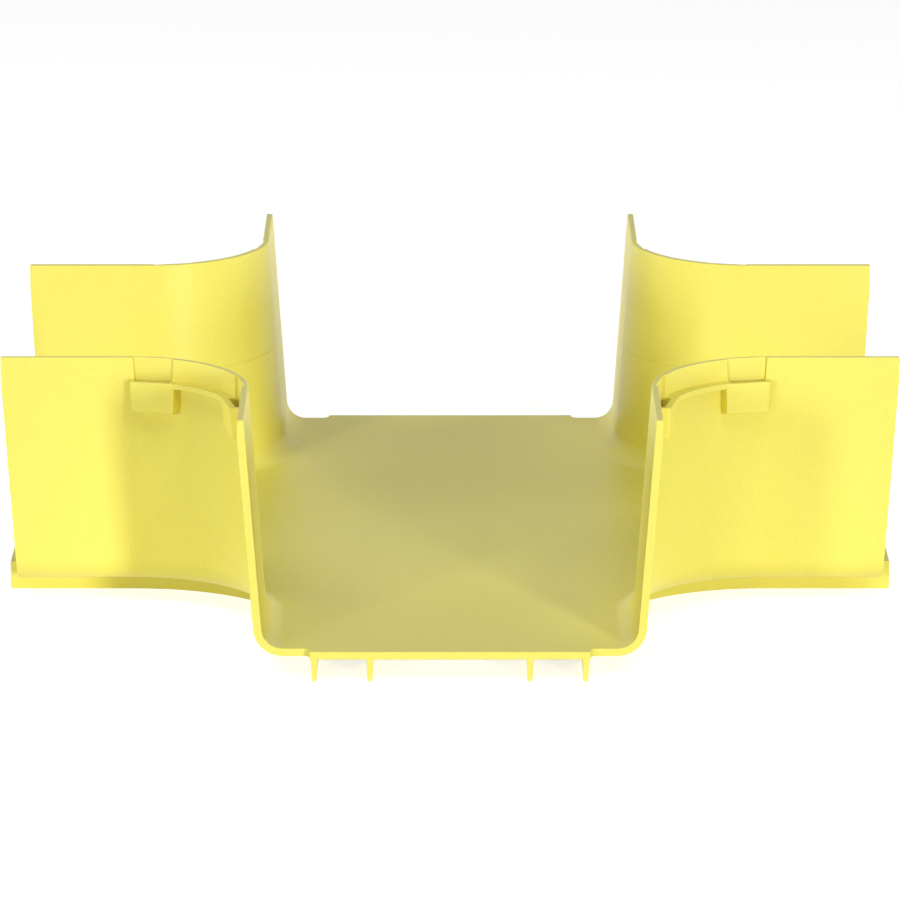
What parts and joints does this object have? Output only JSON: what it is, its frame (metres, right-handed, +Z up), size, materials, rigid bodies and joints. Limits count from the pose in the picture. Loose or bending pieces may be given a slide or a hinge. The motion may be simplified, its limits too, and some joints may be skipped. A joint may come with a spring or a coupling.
{
  "type": "fibre raceway cross fitting",
  "caption": "Open-top cross fitting for a fibre cable trough: flat floor, leaning walls curved between the arms, ribs below, ledges and latch pockets at the corners.",
  "frame": {"origin": "on the plane of the rib feet, under the centre of the cross", "axes": "+Z up; one arm runs along each of -X, +X, -Y and +Y"},
  "size_m": [0.3468, 0.3468, 0.1011],
  "materials": {
    "moulded_plastic": "satin moulded plastic, bright yellow"
  },
  "bodies": {
    "root": {"cross_fitting": "moulded_plastic"}
  },
  "joints": []
}
